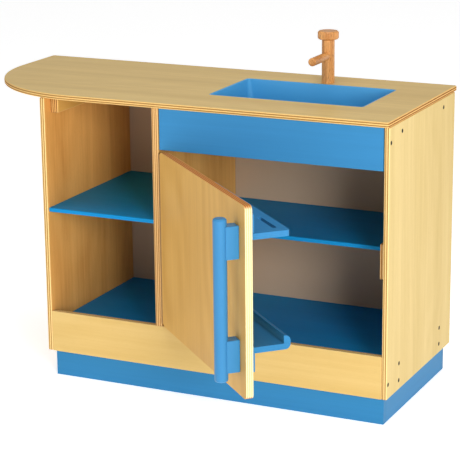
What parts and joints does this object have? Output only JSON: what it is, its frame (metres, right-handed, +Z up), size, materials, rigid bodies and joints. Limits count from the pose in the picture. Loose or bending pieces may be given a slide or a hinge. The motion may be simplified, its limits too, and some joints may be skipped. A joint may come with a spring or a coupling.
{
  "type": "toy kitchen",
  "caption": "Child's play kitchen: plywood cabinet on a blue plinth with a curved worktop, blue sink, turning wooden tap, open bay and a swinging cupboard door.",
  "frame": {"origin": "on the floor under the middle of the plinth, on the stretcher's underside", "axes": "+X to the right seen from the front, +Y to the back, +Z up"},
  "size_m": [1.006, 0.7635, 0.7563],
  "materials": {
    "birch_ply": "clear satin lacquer on birch plywood",
    "blue_ply": "blue satin lacquer on plywood",
    "back_board": "pale grey laminated fibreboard",
    "beech": "oiled turned beech",
    "blue_plastic": "moulded blue plastic",
    "dark_steel": "dark steel screws",
    "bronzed_steel": "bronzed steel hinge",
    "zinc": "zinc plated washer"
  },
  "bodies": {
    "cabinet": {"worktop": "birch_ply", "left_side_panel": "birch_ply", "right_side_panel": "birch_ply", "divider_panel": "birch_ply", "back_panel": "back_board", "floor_board": "blue_ply", "front_rail": "birch_ply", "fascia_panel": "blue_ply", "left_shelf": "blue_ply", "cupboard_shelf": "blue_ply", "plinth_front": "blue_ply", "plinth_back": "blue_ply", "plinth_left": "blue_ply", "plinth_right": "blue_ply", "plinth_stretcher": "blue_ply", "left_batten": "birch_ply", "divider_batten": "birch_ply", "right_batten": "birch_ply", "fascia_batten": "birch_ply", "left_panel_screws": "dark_steel", "right_panel_screws": "dark_steel", "batten_screws": "dark_steel", "worktop_screws": "dark_steel", "sink_basin": "blue_plastic", "sink_screws": "dark_steel", "hinge_fixed_leaf": "bronzed_steel", "hinge_pin": "bronzed_steel", "hinge_fixed_screws": "dark_steel", "door_stop": "birch_ply", "door_stop_screws": "dark_steel"},
    "door": {"door_panel": "birch_ply", "handle_bar": "blue_ply", "handle_block_upper": "blue_ply", "handle_block_lower": "blue_ply", "handle_screws": "dark_steel", "door_shelf": "blue_ply", "door_shelf_strip": "blue_ply", "door_tray": "blue_ply", "door_tray_strip": "blue_ply", "strip_screws": "dark_steel", "hinge_door_leaf": "bronzed_steel", "hinge_door_screws": "dark_steel"},
    "tap": {"tap_post": "beech", "tap_spout": "beech", "tap_washer": "zinc", "tap_screw": "dark_steel"},
    "knob": {"tap_knob": "beech"}
  },
  "joints": [
    {"name": "door_hinge", "type": "hinge", "parent": "cabinet", "child": "door", "pos_m": [-0.112, -0.1985, 0.346], "axis": [0, 0, 1], "range_deg": [-66, 44]},
    {"name": "tap_swivel", "type": "hinge", "parent": "cabinet", "child": "tap", "pos_m": [0.132, 0.133, 0.642], "axis": [0, 0, 1], "range_deg": [-90, 90]},
    {"name": "knob_turn", "type": "hinge", "parent": "tap", "child": "knob", "pos_m": [0.132, 0.133, 0.738], "axis": [0, 0, 1], "continuous": true}
  ]
}
